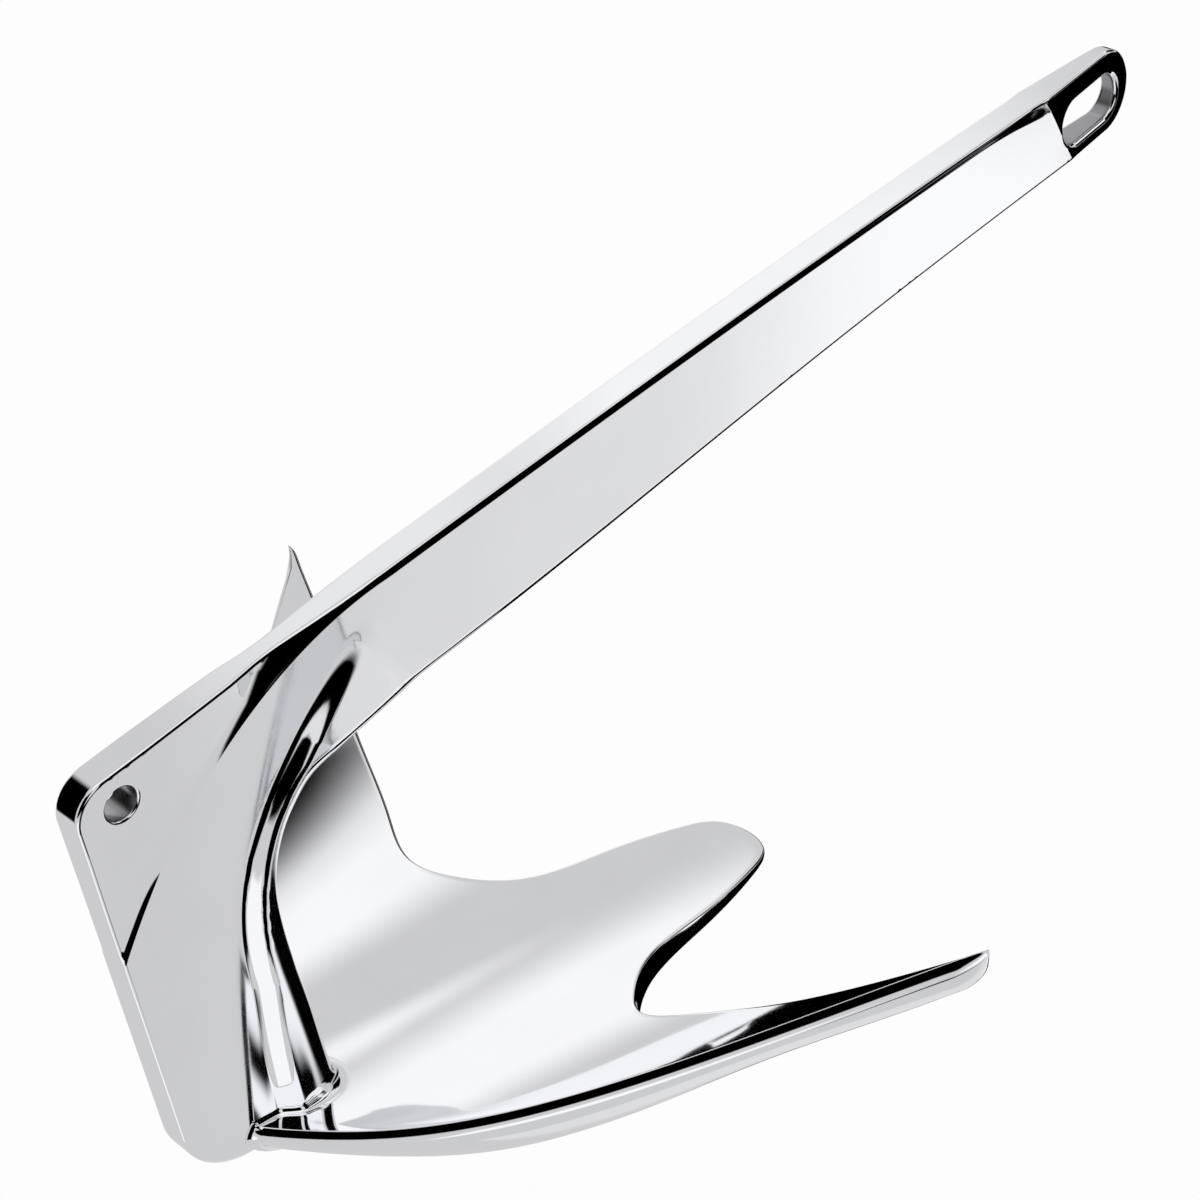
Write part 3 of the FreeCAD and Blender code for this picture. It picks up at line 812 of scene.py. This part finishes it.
guide = bpy.data.meshes.new("foot_line")
guide.from_pydata([tuple(c) for c in corners], [(i, i + 1) for i in range(len(corners) - 1)], [])
for name, values in (("wall", walls), ("palm", floors)):
    guide.attributes.new(name, "FLOAT_VECTOR", "POINT").data.foreach_set("vector", values.ravel())
foot_line = bpy.data.objects.new("foot_line", guide)
scene.collection.objects.link(foot_line)
bender = foot_line.modifiers.new("fairing", "NODES")
bender.node_group = weld
bender[sockets["Rows across"]] = 10
bender[sockets["Root share"]] = 0.35
made = bpy.data.meshes.new_from_object(foot_line.evaluated_get(bpy.context.evaluated_depsgraph_get()))
fairing_points = [tuple(v.co) for v in made.vertices]
fairing_faces = [tuple(f.vertices) for f in made.polygons]
bpy.data.objects.remove(foot_line)
bpy.data.meshes.remove(guide)
bpy.data.meshes.remove(made)
finished("anchor_fairing", fairing_points, fairing_faces)

# Table and tent: the anchor is photographed on a white table in a white cloth tent. The
# table shows white to the camera, and the polish looks through it at the tent below,
# with black cards hung in the tent and lamps shining through its cloth.
table_r, table_sunk, table_sides = 2.2, 0.0006, 96
table = bpy.data.meshes.new("table")
table.from_pydata([(table_r * math.cos(a), table_r * math.sin(a), -table_sunk)
                   for a in np.linspace(0, 2 * math.pi, table_sides + 1)[:-1]],
                  [], [tuple(range(table_sides))])
floor = bpy.data.objects.new("table", table)
scene.collection.objects.link(floor)

cloth = bpy.data.materials.new("white_table")
cloth.use_nodes = True
cloth.node_tree.nodes.clear()
top = Wire(cloth.node_tree)
rays = top.add("ShaderNodeLightPath").all_outputs()
seen, mirrored = rays[0], rays[3]
matt = top.add("ShaderNodeBsdfDiffuse", {}, {"Color": (0.82, 0.82, 0.84, 1.0)})
white = top.add("ShaderNodeEmission", {}, {"Color": (1.0, 1.0, 1.0, 1.0), "Strength": 1.0})
clear = top.add("ShaderNodeBsdfTransparent")
plain = top.add("ShaderNodeMixShader", {}, {0: seen * 0.97, 1: matt, 2: white})
both = top.add("ShaderNodeMixShader", {}, {0: mirrored, 1: plain, 2: clear})
top.add("ShaderNodeOutputMaterial", {}, {"Surface": both})
table.materials.append(cloth)

world = bpy.data.worlds.new("tent")
scene.world = world
world.use_nodes = True
world.node_tree.nodes.clear()
air = Wire(world.node_tree)
way_x, way_y, way_z = air.add("ShaderNodeSeparateXYZ", {}, {
    0: air.add("ShaderNodeTexCoord", take=0)}).all_outputs()
# degrees: turn 0 is ahead of the claw and grows to the far side, height 0 is level
height = air.math("ARCSINE", way_z) * (180.0 / math.pi)
turn = air.math("ARCTAN2", way_y, way_x) * (180.0 / math.pi)


def patch(turns, heights):
    """A soft-edged patch of the tent: from, to and edge of its turn and of its height."""
    return turn.window(*turns) * height.window(*heights)


cards = [
    patch((-110.0, -73.0, 3.0), (-43.0, -3.0, 3.0)),
    patch((-80.0, -47.0, 4.0), (-20.0, 46.0, 6.0)),
    patch((-44.0, -36.0, 4.0), (-18.0, 16.0, 6.0)),
    patch((-27.0, -20.0, 10.0), (41.0, 58.0, 4.0)),
    patch((-32.0, 33.0, 1.0), (-54.0, 0.0, 3.0)),
    patch((-17.0, 12.0, 3.0), (10.0, 31.0, 5.0)),
    patch((28.0, 52.0, 4.0), (-38.0, -20.0, 3.0)),
    patch((102.0, 148.0, 6.0), (-20.0, 42.0, 5.0)),
    patch((-168.0, -109.0, 5.0), (-5.0, 45.0, 3.0))]
dark = cards[0]
for card in cards[1:]:
    dark = air.math("MAXIMUM", dark, card)
lamps = (patch((-3.0, 6.0, 15.0), (38.0, 62.0, 10.0))
         + patch((46.0, 60.0, 12.0), (5.0, 22.0, 16.0))
         + patch((62.0, 67.0, 8.0), (36.0, 50.0, 8.0)) * 0.6
         + patch((42.0, 54.0, 6.0), (39.0, 52.0, 6.0)) * 0.9
         + patch((-44.0, -28.0, 3.0), (24.0, 60.0, 5.0))
         + patch((-140.0, -48.0, 6.0), (54.0, 80.0, 4.0))
         + patch((-106.0, -84.0, 4.0), (3.0, 24.0, 4.0)) * 0.4)
low_lamp = patch((-150.0, -121.0, 4.0), (-56.0, -22.0, 5.0)) * 0.36
cloth_level, lamp_level = 0.63, 0.36
in_front = 1.0 - turn.ramp(12.0, 34.0)
bright_cloth = turn.ramp(-43.5, -36.5) * height.ramp(-62.0, -54.0) * 0.26
below = (turn.ramp(-58.0, -44.0) * 0.13 + bright_cloth) * in_front + cloth_level
tent = air.add("ShaderNodeMix", {"data_type": "FLOAT"}, {
    0: height.ramp(-22.0, -6.0), 2: below, 3: lamps * lamp_level + cloth_level})
glow = (tent + low_lamp) * (1.0 - dark)
direct = air.add("ShaderNodeLightPath", take=0)
level = air.add("ShaderNodeMix", {"data_type": "FLOAT"}, {0: direct, 2: glow, 3: 1.0})
shine = air.add("ShaderNodeBackground", {}, {"Color": (1.0, 1.0, 1.0, 1.0), "Strength": level})
air.add("ShaderNodeOutputWorld", {}, {"Surface": shine})

# Camera: a little to the left of the crown and above it, looking down along the claw.
# Its place and lens were worked out from the anchor's proportions in the photograph.
lens = bpy.data.cameras.new("camera")
lens.lens = 76.83
lens.sensor_width = 36.0
lens.clip_start = 0.05
lens.clip_end = 20.0
camera = bpy.data.objects.new("camera", lens)
scene.collection.objects.link(camera)
stand = (-0.655337, -0.59605, 0.747848)
right = Vector((0.696739, -0.717323, 0.001234))
sight = Vector((0.598797, 0.580665, -0.551607))
above = right.cross(sight)
facing = Matrix((right, above, -sight)).transposed().to_4x4()
camera.matrix_world = Matrix.Translation(stand) @ facing
scene.camera = camera
scene.view_settings.view_transform = "Standard"
